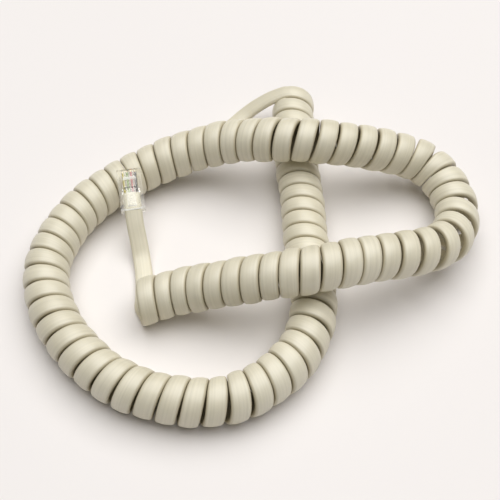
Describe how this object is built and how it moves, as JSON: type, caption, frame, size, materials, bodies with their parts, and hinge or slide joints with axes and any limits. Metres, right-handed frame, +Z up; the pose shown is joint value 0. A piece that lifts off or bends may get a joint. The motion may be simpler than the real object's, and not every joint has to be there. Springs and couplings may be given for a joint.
{
  "type": "coiled handset cord",
  "caption": "Coiled flat handset cord lying in a loose loop that crosses over itself, with a clear modular plug and sprung latch on each end.",
  "frame": {"origin": "middle of the box that holds the cord as it lies, on the surface it lies on", "axes": "+Z up from the surface; +X along the longest side of the cord's box; +Y towards the end of the coil that plug B is on"},
  "size_m": [0.1433, 0.1265, 0.0295],
  "materials": {
    "cord_jacket": "satin",
    "clear_plastic": "clear polished",
    "contact_gold": "gold plated",
    "core_black": "matte",
    "core_red": "matte",
    "core_green": "matte",
    "core_yellow": "matte"
  },
  "bodies": {
    "cord": {"cord_coil": "cord_jacket", "cord_tail_a": "cord_jacket", "cord_tail_b": "cord_jacket", "plug_a_housing": "clear_plastic", "plug_a_cord_clamp": "clear_plastic", "plug_a_core_clamp": "clear_plastic", "plug_a_contact_1": "contact_gold", "plug_a_contact_2": "contact_gold", "plug_a_contact_3": "contact_gold", "plug_a_contact_4": "contact_gold", "plug_a_core_1": "core_black", "plug_a_core_2": "core_red", "plug_a_core_3": "core_green", "plug_a_core_4": "core_yellow", "plug_b_housing": "clear_plastic", "plug_b_cord_clamp": "clear_plastic", "plug_b_core_clamp": "clear_plastic", "plug_b_contact_1": "contact_gold", "plug_b_contact_2": "contact_gold", "plug_b_contact_3": "contact_gold", "plug_b_contact_4": "contact_gold", "plug_b_core_1": "core_black", "plug_b_core_2": "core_red", "plug_b_core_3": "core_green", "plug_b_core_4": "core_yellow"},
    "latch_a": {"plug_a_latch": "clear_plastic"},
    "latch_b": {"plug_b_latch": "clear_plastic"}
  },
  "joints": [
    {"name": "latch_a_press", "type": "hinge", "parent": "cord", "child": "latch_a", "pos_m": [-0.04021, 0.02013, 0.01881], "axis": [0.9877, 0.1564, 0], "range_deg": [0, 11], "stiffness_Nm_per_rad": 0.05},
    {"name": "latch_b_press", "type": "hinge", "parent": "cord", "child": "latch_b", "pos_m": [-0.02798, 0.04378, 0.00482], "axis": [-0.3746, 0.9272, 0], "range_deg": [0, 11], "stiffness_Nm_per_rad": 0.05}
  ]
}
